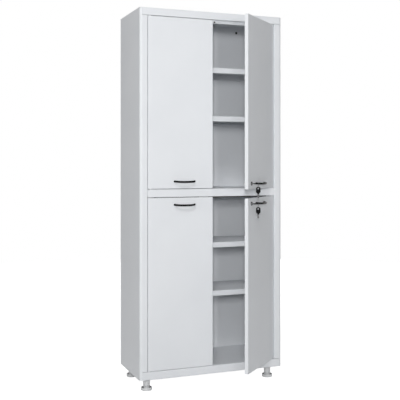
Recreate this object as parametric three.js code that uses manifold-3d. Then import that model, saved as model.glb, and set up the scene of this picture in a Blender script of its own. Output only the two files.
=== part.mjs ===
// Steel medicine cabinet in two sections, with four solid doors that turn on pivot pins.
// Millimetres. X is right, Y runs from the front to the back, Z is up.
import * as THREE from 'three';
import { mergeVertices } from 'three/addons/utils/BufferGeometryUtils.js';
import Module from 'manifold-3d';

const wasm = await Module();
wasm.setup();

// Body
const BODY_W = 700;
const BODY_D = 320;
const BODY_H = 1655;
const FOOT_H = 58;

// Sheet metal, and the gap that is left between two separate pieces
const SHEET = 1;
const BEND_R = 1;
const CLEAR = 0.3;

// Front frame
const STILE_W = 36;
const STILE_RETURN = 25;
const STILE_HEM = 11;
const CORNER_R = 12;
const FASCIA_H = 33;
const RAIL_H = 36;
const RAIL_HEM_H = 7;
const FASCIA_LIP_H = 14;
const RAIL_LIP_H = 6;
const STOP_LIP_GAP = 0.7;
const STOP_LIP_ROOM = 4;

// Rear and inner flanges
const REAR_FLANGE_W = 16;
const REAR_STEP_W = 2;
const REAR_SEAT_W = 12;
const PANEL_FLANGE_H = 26;
const WALL_FLANGE_H = 36;
const WALL_HOLE_D = 8;
const WALL_HOLE_SIDE = 93;
const WALL_HOLE_DROP = 29;

// Doors
const DOOR_GAP = 2.5;
const MEETING_GAP = 3;
const DOOR_T = 17;
const DOOR_EDGE_R = 1.6;
const DOOR_LIP = 12;
const DOOR_OPEN_DEG = 42.5;
const HAT_W = 70;
const HAT_D = 12;
const HAT_FOOT = 14;
const HAT_END = 75;

// Pivot pins: inset from the hinge edge, depth behind the outer face
const PIVOT_INSET = 12;
const PIVOT_DEPTH = 6.5;
const PIN_D = 8;
const PIN_COLLAR_D = 13;
const PIN_STUD = 6;
const PIN_EASE = 1;

// Bow handles: side is from the free edge, edge from the top or bottom edge of a door without a lock
const HANDLE_CENTRES = 96;
const HANDLE_SIDE = 137;
const HANDLE_EDGE = 32;
const HANDLE_FOOT_W = 11;
const HANDLE_FOOT_T = 3;
const HANDLE_H = 9;
const HANDLE_BAR_T = 7;
const HANDLE_STAND = 27;
const HANDLE_EASE = 1.5;
const SCREW_D = 4;
const SCREW_HEAD_D = 8;
const SCREW_HEAD_T = 2.4;
const SCREW_GRIP = 4;

// Cam locks
const LOCK_SIDE = 38;
const LOCK_EDGE = 24;
const LOCK_FACE_D = 18;
const LOCK_FACE_T = 2.6;
const LOCK_FACE_EASE = 1;
const LOCK_BODY_D = 15;
const LOCK_BODY_L = 13;
const LOCK_NUT_D = 21;
const LOCK_NUT_T = 3;
const PLUG_D = 10.6;
const PLUG_STUD_D = 6.6;
const PLUG_HEAD_T = 3;
const CAM_LENGTH = 32;
const CAM_W = 12;
const CAM_T = 2;
const CAM_EASE = 3;
const CAM_PLAY = 1.3;
const KEEPER_PLAY = 1.6;

// Keys: one in each lock, and a spare on a ring through its eye; the ring's turn is from the key's own axis
const KEY_T = 2;
const KEY_W = 7;
const KEY_INSERT = 15;
const KEY_NECK_L = 9.4;
const KEY_HEAD_W = 20;
const KEY_HEAD_L = 28;
const KEY_HEAD_T = 4;
const KEY_HEAD_R = 8;
const KEY_EYE_D = 8.4;
const KEY_EYE_EDGE = 7;
const RING_D = 22;
const RING_WIRE = 1.4;
const RING_TURN_DEG = 75;
const SPARE_BLADE = 21;
const SPARE_TIP = 3;
const KEY_BITS = [[4, 0], [6.5, 1.8], [9, 0.6], [11, 1.5], [13.5, 0]];

// Slotted uprights, brackets and shelves: margins are from the front and rear planes of the body
const UPRIGHT_W = 20;
const UPRIGHT_D = 8;
const UPRIGHT_FRONT = 70;
const UPRIGHT_REAR = 58;
const UPRIGHT_ROOM = 2;
const SLOT_PITCH = 75;
const SLOT_FIRST = 93;
const SLOT_TOP_ROOM = 52;
const SHELF_SLOTS = [3, 6];
const SHELF_FRONT = 40;
const SHELF_REAR = 20;
const SHELF_EDGE_H = 25;
const SHELF_HEM = 12;
const BRACKET_T = 1.2;
const BRACKET_H = 18;
const BRACKET_W = 16;
const BRACKET_END = 3;
const EAR_H = 10;
const EAR_L = 5.5;
const EAR_UP = 2;
const EAR_PLAY = 1;

// Magnetic catches of the left doors
const CATCH_W = 40;
const CATCH_D = 16;
const CATCH_H = 13;
const CATCH_SIDE = 40;
const POLE_INSET = 5;
const POLE_OUT = 1;

// Feet: insets are from the sides, the front and the rear of the body
const FOOT_SIDE = 48;
const FOOT_FRONT = 55;
const FOOT_REAR = 27;
const SLEEVE_D = 31;
const SLEEVE_FLANGE_D = 40;
const SLEEVE_FLANGE_T = 5;
const STEM_D = 12;
const STEM_ROOM = 12;
const PAD_D = 49;
const PAD_H = 21;
const PAD_RIM_H = 14;
const PAD_SHOULDER_H = 16;
const PAD_EASE = 2;

// Levels and places that follow from the sizes
const HALF_W = BODY_W / 2;
const HALF_T = SHEET / 2;
const BASE_Z = FOOT_H;
const TOP_Z = FOOT_H + BODY_H;
const FLOOR_Z = BASE_Z + RAIL_H;
const FASCIA_Z = TOP_Z - FASCIA_H;
const SECTION_H = (FASCIA_Z - FLOOR_Z - RAIL_H) / 2;
const RAIL_Z = FLOOR_Z + SECTION_H;
const DECK_Z = RAIL_Z + RAIL_H;
const INNER_X = HALF_W - SHEET - CLEAR;
const STILE_X = HALF_W - STILE_W;
const FRONT_X = HALF_W - CORNER_R - CLEAR;
const FRAME_Y = STILE_RETURN + STILE_HEM;
const SEAT_X = HALF_W - REAR_FLANGE_W - REAR_STEP_W - REAR_SEAT_W;
const SEAT_Y = BODY_D - 2 * SHEET - CLEAR;
const REAR_Y = SEAT_Y - SHEET - CLEAR;
const DOOR_W = STILE_X - DOOR_GAP - MEETING_GAP / 2;
const DOOR_H = SECTION_H - 2 * DOOR_GAP;
const PIVOT_X = STILE_X - DOOR_GAP - PIVOT_INSET;
const LIP_Y = DOOR_T + STOP_LIP_GAP;
const LIP_X = PIVOT_X - Math.hypot(PIVOT_INSET, DOOR_T - PIVOT_DEPTH) - STOP_LIP_ROOM;
const WEB_X = HALF_W - SHEET - UPRIGHT_D;
const UPRIGHT_YS = { front: UPRIGHT_FRONT, rear: BODY_D - UPRIGHT_REAR };
const NOTCH = UPRIGHT_W / 2 + UPRIGHT_ROOM;
const CAM_Y = LIP_Y + SHEET + CAM_PLAY;
const LOCK_X = MEETING_GAP / 2 + LOCK_SIDE;
const OVERSHOOT = 10;

const paint = new THREE.MeshStandardMaterial({ color: 0xe2e5e7, roughness: 0.45, metalness: 0 });
const zinc = new THREE.MeshStandardMaterial({ color: 0xb9bcbf, roughness: 0.35, metalness: 1 });
const black = new THREE.MeshStandardMaterial({ color: 0x1d1f22, roughness: 0.3, metalness: 0 });
const chrome = new THREE.MeshStandardMaterial({ color: 0xd5d7d9, roughness: 0.12, metalness: 1 });
const greyPlastic = new THREE.MeshStandardMaterial({ color: 0xc3c6c8, roughness: 0.5, metalness: 0 });

// Closed meshes with shared corners, which can be joined and cut

function welded(geometry) {
  const bare = new THREE.BufferGeometry();
  bare.setAttribute('position', geometry.getAttribute('position').clone());
  bare.setIndex(geometry.index ? geometry.index.clone() : null);
  return mergeVertices(bare, 1e-4);
}

function toSolid(geometry) {
  const g = welded(geometry);
  const vertProperties = Float32Array.from(g.getAttribute('position').array);
  const triVerts = Uint32Array.from(g.index.array);
  return new wasm.Manifold(new wasm.Mesh({ numProp: 3, vertProperties, triVerts }));
}

function toGeometry(solid) {
  const mesh = solid.getMesh();
  const g = new THREE.BufferGeometry();
  g.setAttribute('position', new THREE.BufferAttribute(mesh.vertProperties, 3));
  g.setIndex(new THREE.BufferAttribute(mesh.triVerts, 1));
  return g;
}

function join(...pieces) {
  return toGeometry(pieces.map(toSolid).reduce((a, b) => a.add(b)));
}

function cut(base, ...tools) {
  return toGeometry(tools.map(toSolid).reduce((a, b) => a.subtract(b), toSolid(base)));
}

// The same piece for the other side of the cabinet
function mirrored(geometry) {
  const g = welded(geometry).scale(-1, 1, 1);
  const order = g.index.array;
  for (let i = 0; i < order.length; i += 3) {
    [order[i], order[i + 1]] = [order[i + 1], order[i]];
  }
  return g;
}

function withMirror(geometry) {
  return join(geometry, mirrored(geometry));
}

// Basic forms

function box(x0, x1, y0, y1, z0, z1) {
  const g = new THREE.BoxGeometry(x1 - x0, y1 - y0, z1 - z0);
  return g.translate((x0 + x1) / 2, (y0 + y1) / 2, (z0 + z1) / 2);
}

function extruded(outline, depth) {
  const shape = new THREE.Shape(outline.map(([a, b]) => new THREE.Vector2(a, b)));
  return new THREE.ExtrudeGeometry(shape, { depth, bevelEnabled: false });
}

// Outline in X and Y, raised along Z
function prismZ(outline, z0, z1) {
  return extruded(outline, z1 - z0).translate(0, 0, z0);
}

// Outline in Y and Z, drawn out along X
function prismX(outline, x0, x1) {
  const turn = new THREE.Matrix4().makeBasis(
    new THREE.Vector3(0, 1, 0),
    new THREE.Vector3(0, 0, 1),
    new THREE.Vector3(1, 0, 0),
  );
  return extruded(outline, x1 - x0).applyMatrix4(turn).translate(x0, 0, 0);
}

// Outline in X and Z, drawn out along Y
function prismY(outline, y0, y1) {
  return extruded(outline, y1 - y0).rotateX(Math.PI / 2).translate(0, y1, 0);
}

// Turned about Y: the profile holds radius and depth, and runs from the front to the back on its outside
function turnedY(profile, sides) {
  return new THREE.LatheGeometry(profile.map(([r, y]) => new THREE.Vector2(r, y)), sides);
}

// Turned about Z: the profile runs upwards on its outside
function turnedZ(profile, sides) {
  return turnedY(profile, sides).rotateX(Math.PI / 2);
}

function rodY(x, z, diameter, y0, y1, sides = 12) {
  const g = new THREE.CylinderGeometry(diameter / 2, diameter / 2, y1 - y0, sides);
  return g.translate(x, (y0 + y1) / 2, z);
}

function rodZ(x, y, diameter, z0, z1, sides = 12) {
  const g = new THREE.CylinderGeometry(diameter / 2, diameter / 2, z1 - z0, sides);
  return g.rotateX(Math.PI / 2).translate(x, y, (z0 + z1) / 2);
}

function rodX(y, z, diameter, x0, x1, sides = 12) {
  const g = new THREE.CylinderGeometry(diameter / 2, diameter / 2, x1 - x0, sides);
  return g.rotateZ(Math.PI / 2).translate((x0 + x1) / 2, y, z);
}

// Rectangle with rounded corners
function rounded(x0, x1, y0, y1, r, steps) {
  const corners = [[x1 - r, y0 + r], [x1 - r, y1 - r], [x0 + r, y1 - r], [x0 + r, y0 + r]];
  return corners.flatMap(([cx, cy], quarter) => Array.from({ length: steps + 1 }, (_, k) => {
    const angle = ((quarter - 1 + k / steps) * Math.PI) / 2;
    return [cx + r * Math.cos(angle), cy + r * Math.sin(angle)];
  }));
}

// Points of one bend in a sheet, round the corner between two straight runs
function bendPoints(before, corner, after, radius, steps) {
  const a = before.clone().sub(corner).normalize();
  const b = after.clone().sub(corner).normalize();
  const half = Math.acos(a.dot(b)) / 2;
  const middle = a.clone().add(b).setLength(radius / Math.sin(half)).add(corner);
  const first = a.clone().multiplyScalar(radius / Math.tan(half)).add(corner);
  const turn = Math.sign(b.cross(a)) * (Math.PI - 2 * half);
  return Array.from({ length: steps + 1 }, (_, k) => first.clone().rotateAround(middle, (turn * k) / steps));
}

// Outline of a folded sheet along the path of its middle; a point's third number is the radius of its bend
function folded(path, thickness = SHEET) {
  const points = path.map(([a, b]) => new THREE.Vector2(a, b));
  const last = points.length - 1;
  const line = points.flatMap((p, i) => {
    if (i === 0 || i === last) {
      return [p];
    }
    const wide = path[i][2];
    return bendPoints(points[i - 1], p, points[i + 1], wide ?? BEND_R + thickness / 2, wide ? 6 : 1);
  });
  const sides = line.map((p, i) => {
    const inward = p.clone().sub(line[Math.max(i - 1, 0)]).normalize();
    const outward = line[Math.min(i + 1, line.length - 1)].clone().sub(p).normalize();
    const along = inward.clone().add(outward).normalize();
    const straight = i > 0 ? inward : outward;
    const reach = thickness / 2 / along.dot(straight);
    const side = new THREE.Vector2(-along.y, along.x).multiplyScalar(reach);
    return [p.clone().add(side), p.clone().sub(side)];
  });
  const outline = [...sides.map(([a]) => a), ...sides.map(([, b]) => b).reverse()];
  return outline.map((p) => [p.x, p.y]);
}

const cabinet = new THREE.Group();
cabinet.name = 'medicine_cabinet';
const standing = new THREE.Group();
cabinet.add(standing);

function put(parent, name, geometry, material) {
  const g = welded(geometry);
  g.computeVertexNormals();
  const mesh = new THREE.Mesh(g, material);
  mesh.name = name;
  parent.add(mesh);
  return mesh;
}

// Side panels: one sheet from the hem of the stile round the front corner to the seat of the back panel

const sidePath = [
  [-STILE_X - STILE_HEM, STILE_RETURN - HALF_T],
  [-STILE_X - HALF_T, STILE_RETURN - HALF_T],
  [-STILE_X - HALF_T, HALF_T],
  [-HALF_W + HALF_T, HALF_T, CORNER_R - HALF_T],
  [-HALF_W + HALF_T, BODY_D - HALF_T],
  [-HALF_W + REAR_FLANGE_W, BODY_D - HALF_T],
  [-HALF_W + REAR_FLANGE_W + REAR_STEP_W, SEAT_Y + HALF_T],
  [-SEAT_X, SEAT_Y + HALF_T],
];
const sideNotchX = -HALF_W + CORNER_R;
const sidePanel = cut(
  prismZ(folded(sidePath), BASE_Z, TOP_Z - SHEET - CLEAR),
  box(sideNotchX, 0, -OVERSHOOT, FRAME_Y, FASCIA_Z - CLEAR, TOP_Z),
  box(sideNotchX, 0, -OVERSHOOT, FRAME_Y, BASE_Z - OVERSHOOT, FLOOR_Z + CLEAR),
);
put(standing, 'left_side_panel', sidePanel, paint);
put(standing, 'right_side_panel', mirrored(sidePanel), paint);

// Shared details of the roof, the deck between the sections and the floor

function pivotHoles(z) {
  return withMirror(rodZ(-PIVOT_X, PIVOT_DEPTH, PIN_D + 2 * CLEAR, z - 2 * SHEET, z + 2 * SHEET));
}

// Strips turned down along the side walls, which leave room for the uprights
function sideFlanges(deckZ) {
  const runs = [
    [FRAME_Y, UPRIGHT_YS.front - NOTCH],
    [UPRIGHT_YS.front + NOTCH, UPRIGHT_YS.rear - NOTCH],
    [UPRIGHT_YS.rear + NOTCH, REAR_Y],
  ];
  const footZ = deckZ - PANEL_FLANGE_H;
  const strip = ([y0, y1]) => box(-INNER_X, -INNER_X + SHEET, y0, y1, footZ, deckZ - HALF_T);
  return withMirror(join(...runs.map(strip)));
}

// Front rail folded from the deck, with a return at its foot
function rail(halfWidth, deckZ, footZ) {
  const path = [
    [FRAME_Y, deckZ - HALF_T],
    [HALF_T, deckZ - HALF_T],
    [HALF_T, footZ + HALF_T],
    [LIP_Y + SHEET, footZ + HALF_T],
  ];
  return prismX(folded(path), -halfWidth, halfWidth);
}

// Lip that the doors below a rail close against: clear of their hinge edges, with a window for the catch
function stopLip(footZ, height) {
  const room = CATCH_W / 2 + 2 * CLEAR;
  const lip = box(-LIP_X, LIP_X, LIP_Y, LIP_Y + SHEET, footZ - height, footZ + HALF_T);
  const window = box(-CATCH_SIDE - room, -CATCH_SIDE + room, 0, BODY_D, footZ - BODY_H, footZ - CLEAR / 2);
  return cut(lip, window);
}

function deck(deckZ, frontX) {
  return join(
    box(-frontX, frontX, STILE_RETURN, FRAME_Y + SHEET, deckZ - SHEET, deckZ),
    box(-INNER_X, INNER_X, FRAME_Y, REAR_Y + SHEET, deckZ - SHEET, deckZ),
    box(-SEAT_X, SEAT_X, REAR_Y, REAR_Y + SHEET, deckZ - PANEL_FLANGE_H, deckZ - HALF_T),
    sideFlanges(deckZ),
  );
}

// Top panel: roof with rounded front corners, fascia, stop lip and the flange that is screwed to the wall

const wallHoleX = HALF_W - WALL_HOLE_SIDE;
const wallHoles = withMirror(
  rodY(-wallHoleX, TOP_Z - WALL_HOLE_DROP, WALL_HOLE_D, SEAT_Y - OVERSHOOT, BODY_D + OVERSHOOT),
);
const roofPlan = rounded(-HALF_W, HALF_W, 0, BODY_D + 2 * CORNER_R, CORNER_R, 6);
const roof = cut(
  prismZ(roofPlan, TOP_Z - SHEET, TOP_Z),
  box(-BODY_W, BODY_W, BODY_D, 2 * BODY_D, BASE_Z, TOP_Z + OVERSHOOT),
);
const flangeX = SEAT_X - SHEET;
const flangeZ = TOP_Z - WALL_FLANGE_H;
const wallFlange = box(-flangeX, flangeX, SEAT_Y, SEAT_Y + SHEET, flangeZ, TOP_Z - HALF_T);
put(standing, 'top_panel', cut(
  join(roof, rail(FRONT_X, TOP_Z, FASCIA_Z), stopLip(FASCIA_Z, FASCIA_LIP_H), wallFlange, sideFlanges(TOP_Z)),
  pivotHoles(FASCIA_Z),
  wallHoles,
), paint);

// Bottom panel: floor, rail and a hem turned up behind the foot of the rail

const railHem = box(-FRONT_X, FRONT_X, LIP_Y, LIP_Y + SHEET, BASE_Z + HALF_T, BASE_Z + RAIL_HEM_H);
put(standing, 'bottom_panel', cut(
  join(deck(FLOOR_Z, FRONT_X), rail(FRONT_X, FLOOR_Z, BASE_Z), railHem),
  pivotHoles(FLOOR_Z),
), paint);

// Middle partition: floor of the upper section, notched for the uprights, slotted for the upper lock's cam

const uprightNotches = withMirror(join(...Object.values(UPRIGHT_YS).map((y) => (
  box(-HALF_W, -WEB_X + CLEAR, y - NOTCH, y + NOTCH, DECK_Z - 2 * SHEET, DECK_Z + SHEET)
))));
const keeperSlot = box(
  LOCK_X - CAM_LENGTH + CAM_W / 2,
  LOCK_X + CAM_W / 2 + KEEPER_PLAY,
  CAM_Y - KEEPER_PLAY,
  CAM_Y + CAM_T + KEEPER_PLAY,
  DECK_Z - 2 * SHEET,
  DECK_Z + SHEET,
);
put(standing, 'middle_partition', cut(
  join(deck(DECK_Z, STILE_X - CLEAR), rail(STILE_X - CLEAR, DECK_Z, RAIL_Z), stopLip(RAIL_Z, RAIL_LIP_H)),
  pivotHoles(DECK_Z),
  pivotHoles(RAIL_Z),
  uprightNotches,
  keeperSlot,
), paint);

// Back panel, flush with the rear flanges of the side panels

const backX = HALF_W - REAR_FLANGE_W - REAR_STEP_W - CLEAR;
const backSheet = box(-backX, backX, BODY_D - SHEET, BODY_D, BASE_Z + SHEET, TOP_Z - SHEET - CLEAR);
put(standing, 'back_panel', cut(backSheet, wallHoles), paint);

// Uprights: channels with a row of slots in each section

function slotLevels(base) {
  const count = Math.floor((SECTION_H - SLOT_TOP_ROOM - SLOT_FIRST) / SLOT_PITCH) + 1;
  return Array.from({ length: count }, (_, k) => base + SLOT_FIRST + k * SLOT_PITCH);
}

const uprightPath = [
  [-INNER_X, HALF_T - UPRIGHT_W / 2],
  [-WEB_X - HALF_T, HALF_T - UPRIGHT_W / 2],
  [-WEB_X - HALF_T, UPRIGHT_W / 2 - HALF_T],
  [-INNER_X, UPRIGHT_W / 2 - HALF_T],
];
const slotHalfW = BRACKET_T / 2 + EAR_PLAY;
const slots = [...slotLevels(FLOOR_Z), ...slotLevels(DECK_Z)].map((z) => (
  box(-WEB_X - 2 * SHEET, -WEB_X + SHEET, -slotHalfW, slotHalfW, z - EAR_PLAY, z + EAR_H + EAR_PLAY)
));
const upright = cut(prismZ(folded(uprightPath), FLOOR_Z + CLEAR, TOP_Z - SHEET - CLEAR), ...slots);
Object.entries(UPRIGHT_YS).forEach(([where, y]) => {
  put(standing, `upright_left_${where}`, upright, paint).position.y = y;
  put(standing, `upright_right_${where}`, mirrored(upright), paint).position.y = y;
});

// Shelves and brackets, both drawn with their top at zero; a bracket's ears hook in slots of two uprights

const shelfY0 = SHELF_FRONT;
const shelfY1 = BODY_D - SHELF_REAR;
const shelfPath = [
  [shelfY0 + SHELF_HEM, HALF_T - SHELF_EDGE_H],
  [shelfY0 + HALF_T, HALF_T - SHELF_EDGE_H],
  [shelfY0 + HALF_T, -HALF_T],
  [shelfY1 - HALF_T, -HALF_T],
  [shelfY1 - HALF_T, HALF_T - SHELF_EDGE_H],
  [shelfY1 - SHELF_HEM, HALF_T - SHELF_EDGE_H],
];
const shelf = prismX(folded(shelfPath), -WEB_X + 2 * CLEAR, WEB_X - 2 * CLEAR);

const bracketX = -WEB_X + CLEAR + BRACKET_T / 2;
const bracketPath = [
  [bracketX, -BRACKET_H],
  [bracketX, -BRACKET_T / 2],
  [bracketX + BRACKET_W, -BRACKET_T / 2],
];
const bracketEnd = SHELF_HEM + BRACKET_END;
const earZ = EAR_UP - BRACKET_H;
const ears = Object.values(UPRIGHT_YS).map((y) => (
  box(-WEB_X - EAR_L, bracketX, y - BRACKET_T / 2, y + BRACKET_T / 2, earZ, earZ + EAR_H)
));
const angle = prismY(folded(bracketPath, BRACKET_T), shelfY0 + bracketEnd, shelfY1 - bracketEnd);
const bracket = join(angle, ...ears);

[['lower', FLOOR_Z], ['upper', DECK_Z]].forEach(([section, base]) => {
  SHELF_SLOTS.forEach((slot, i) => {
    const bracketTop = slotLevels(base)[slot] - earZ;
    const name = `${section}_${i + 1}`;
    put(standing, `shelf_${name}`, shelf, paint).position.z = bracketTop + CLEAR + SHEET;
    put(standing, `shelf_bracket_${name}_left`, bracket, paint).position.z = bracketTop;
    put(standing, `shelf_bracket_${name}_right`, mirrored(bracket), paint).position.z = bracketTop;
  });
});

// Door leaf as a left door, about its pivot: X towards the free edge, Y to the back, Z from the bottom edge

const faceY = -PIVOT_DEPTH;
const backY = faceY + DOOR_T;
const hingeX = -PIVOT_INSET;
const freeX = DOOR_W - PIVOT_INSET;
const handleX = freeX - HANDLE_SIDE;
const handleXs = [handleX - HANDLE_CENTRES / 2, handleX + HANDLE_CENTRES / 2];
const lockX = freeX - LOCK_SIDE;

function doorShell(handleZ, lockZ) {
  const skin = prismZ(rounded(hingeX, freeX, faceY, backY, DOOR_EDGE_R, 2), 0, DOOR_H);
  const hollow = box(hingeX + SHEET, freeX - SHEET, faceY + SHEET, backY - SHEET, SHEET, DOOR_H - SHEET);
  const window = box(hingeX + DOOR_LIP, freeX - DOOR_LIP, 0, backY + SHEET, DOOR_LIP, DOOR_H - DOOR_LIP);
  const hatX = (hingeX + freeX) / 2;
  const footY = faceY + SHEET + HALF_T;
  const crownY = faceY + HAT_D + HALF_T;
  const hatPath = [
    [hatX - HAT_W / 2 - HAT_FOOT, footY],
    [hatX - HAT_W / 2, footY],
    [hatX - HAT_W / 2 + HAT_D, crownY],
    [hatX + HAT_W / 2 - HAT_D, crownY],
    [hatX + HAT_W / 2, footY],
    [hatX + HAT_W / 2 + HAT_FOOT, footY],
  ];
  const hat = prismZ(folded(hatPath), HAT_END, DOOR_H - HAT_END);
  const holeY = [faceY - SHEET, faceY + 2 * SHEET];
  const holes = [
    rodZ(0, 0, PIN_D + 2 * CLEAR, -SHEET, 2 * SHEET),
    rodZ(0, 0, PIN_D + 2 * CLEAR, DOOR_H - 2 * SHEET, DOOR_H + SHEET),
    ...handleXs.map((x) => rodY(x, handleZ, SCREW_D + 2 * CLEAR, ...holeY)),
  ];
  if (lockZ) {
    holes.push(rodY(lockX, lockZ, LOCK_BODY_D + 2 * CLEAR, ...holeY, 16));
  }
  return cut(join(cut(skin, hollow, window), hat), ...holes);
}

// Pivot pin: a collar in the gap between door and frame, with a stud in each
function pivotPin() {
  const half = DOOR_GAP / 2 - CLEAR;
  const tip = half + PIN_STUD;
  const r = PIN_D / 2;
  const collar = PIN_COLLAR_D / 2;
  return turnedZ([
    [0, -tip], [r - PIN_EASE, -tip], [r, PIN_EASE - tip], [r, -half], [collar, -half],
    [collar, half], [r, half], [r, tip - PIN_EASE], [r - PIN_EASE, tip], [0, tip],
  ], 10);
}

// Bow handle about the middle of its feet on the door face: an arched bar and its two screws
function bowHandle() {
  const outerHalf = (HANDLE_CENTRES + HANDLE_FOOT_W) / 2;
  const innerHalf = (HANDLE_CENTRES - HANDLE_FOOT_W) / 2;
  const steps = 10;
  const arch = (half, low, high) => Array.from({ length: steps + 1 }, (_, k) => {
    const u = (2 * k) / steps - 1;
    const rise = (1 - Math.abs(u) ** 3.2) ** 0.55;
    return [u * half, -low - (high - low) * rise];
  });
  const outer = arch(outerHalf, HANDLE_FOOT_T, HANDLE_STAND);
  const inner = arch(innerHalf, 0, HANDLE_STAND - HANDLE_BAR_T).reverse();
  const outline = [[-outerHalf, 0], ...outer, [outerHalf, 0], ...inner];
  const shape = new THREE.Shape(outline.map(([x, y]) => new THREE.Vector2(x, y)));
  const bar = new THREE.ExtrudeGeometry(shape, {
    depth: HANDLE_H - 2 * HANDLE_EASE,
    bevelSize: HANDLE_EASE,
    bevelOffset: -HANDLE_EASE,
    bevelThickness: HANDLE_EASE,
    bevelSegments: 1,
  });
  bar.translate(0, -CLEAR, HANDLE_EASE - HANDLE_H / 2);
  const headY = SHEET + CLEAR;
  const screws = [-HANDLE_CENTRES / 2, HANDLE_CENTRES / 2].flatMap((x) => [
    rodY(x, 0, SCREW_D, -SCREW_GRIP, headY + HALF_T),
    rodY(x, 0, SCREW_HEAD_D, headY, headY + SCREW_HEAD_T),
  ]);
  return join(bar, ...screws);
}

// Lock pieces, about the lock's axis on the door face

function lockBarrel() {
  const bore = PLUG_D / 2 + CLEAR;
  const face = LOCK_FACE_D / 2;
  const body = LOCK_BODY_D / 2;
  const nut = LOCK_NUT_D / 2;
  const nutY = SHEET + CLEAR;
  return turnedY([
    [bore, -LOCK_FACE_T], [face - LOCK_FACE_EASE, -LOCK_FACE_T], [face, LOCK_FACE_EASE - LOCK_FACE_T],
    [face, -CLEAR], [body, -CLEAR], [body, nutY], [nut, nutY], [nut, nutY + LOCK_NUT_T],
    [body, nutY + LOCK_NUT_T], [body, LOCK_BODY_L], [bore, LOCK_BODY_L], [bore, -LOCK_FACE_T],
  ], 16);
}

function lockPlug() {
  const r = PLUG_D / 2;
  const stud = PLUG_STUD_D / 2;
  const camEnd = CAM_Y + CAM_T + CLEAR;
  const core = turnedY([
    [0, -LOCK_FACE_T], [r, -LOCK_FACE_T], [r, CAM_Y - CLEAR], [stud, CAM_Y - CLEAR], [stud, camEnd],
    [r, camEnd], [r, camEnd + PLUG_HEAD_T], [0, camEnd + PLUG_HEAD_T],
  ], 14);
  const wide = KEY_W / 2 + CLEAR;
  const thick = KEY_T / 2 + CLEAR;
  return cut(core, box(-wide, wide, -OVERSHOOT, KEY_INSERT + CLEAR, -thick, thick));
}

// The cam lies level while the door is unlocked
function lockCam() {
  const r = CAM_W / 2;
  const round = Array.from({ length: 9 }, (_, k) => {
    const angle = (k / 8 - 0.5) * Math.PI;
    return [r * Math.cos(angle), r * Math.sin(angle)];
  });
  const tip = [[CAM_EASE - CAM_LENGTH, r], [-CAM_LENGTH, r - CAM_EASE], [-CAM_LENGTH, CAM_EASE - r],
    [CAM_EASE - CAM_LENGTH, -r]];
  const blade = prismY([...round, ...tip], CAM_Y, CAM_Y + CAM_T);
  return cut(blade, rodY(0, 0, PLUG_STUD_D + 2 * CLEAR, 0, BODY_D));
}

// Key in the lock, with its head level

const neckOut = LOCK_FACE_T + KEY_NECK_L;
const eyeOut = neckOut + KEY_HEAD_L - KEY_EYE_EDGE;

function lockedKey() {
  const blade = box(-KEY_W / 2, KEY_W / 2, -neckOut - KEY_T, KEY_INSERT, -KEY_T / 2, KEY_T / 2);
  const plan = rounded(-KEY_HEAD_W / 2, KEY_HEAD_W / 2, -neckOut - KEY_HEAD_L, -neckOut, KEY_HEAD_R, 3);
  const head = prismZ(plan, -KEY_HEAD_T / 2, KEY_HEAD_T / 2);
  const eye = rodZ(0, -eyeOut, KEY_EYE_D, -KEY_HEAD_T, KEY_HEAD_T, 16);
  return join(blade, cut(head, eye));
}

// Ring and spare key, about the eye of the key in the lock: X runs to the edge that the ring goes round

const ringTurn = THREE.MathUtils.degToRad(RING_TURN_DEG);
const bridgeEnd = KEY_HEAD_W / 2 / Math.sin(ringTurn);
const ringX = (KEY_EYE_D / 2 + bridgeEnd) / 2;
const wireOut = KEY_HEAD_T / 2 + CLEAR + RING_WIRE / 2;
const ringZ = wireOut - Math.sqrt((RING_D / 2) ** 2 - (bridgeEnd - ringX) ** 2);

function keyRing() {
  const g = new THREE.TorusGeometry(RING_D / 2, RING_WIRE / 2, 6, 24);
  return g.rotateX(Math.PI / 2).translate(ringX, 0, ringZ);
}

// The spare key hangs by its eye from the lowest point of the ring, square to it
function spareKey() {
  const ringRise = RING_D / 2 - Math.sqrt((RING_D / 2) ** 2 - (KEY_HEAD_T / 2) ** 2);
  const eyeZ = ringZ - RING_D / 2 + ringRise + RING_WIRE / 2 + 2 * CLEAR - KEY_EYE_D / 2;
  const top = eyeZ + KEY_EYE_EDGE;
  const foot = top - KEY_HEAD_L;
  const outline = rounded(-KEY_HEAD_W / 2, KEY_HEAD_W / 2, foot, top, KEY_HEAD_R, 3);
  const head = prismX(outline, ringX - KEY_HEAD_T / 2, ringX + KEY_HEAD_T / 2);
  const eye = rodX(0, eyeZ, KEY_EYE_D, ringX - KEY_HEAD_T, ringX + KEY_HEAD_T, 16);
  const edge = KEY_W / 2;
  const tip = foot - SPARE_BLADE;
  const bits = KEY_BITS.map(([down, depth]) => [edge - depth, foot - down]);
  const blade = prismX([
    [-edge, foot + KEY_T], [-edge, tip + SPARE_TIP], [0, tip], [edge, tip + SPARE_TIP],
    ...bits.reverse(), [edge, foot + KEY_T],
  ], ringX - KEY_T / 2, ringX + KEY_T / 2);
  return join(cut(head, eye), blade);
}

// The four leaves: handles and locks sit at the edges next to the middle rail, and the right leaves are open

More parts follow.
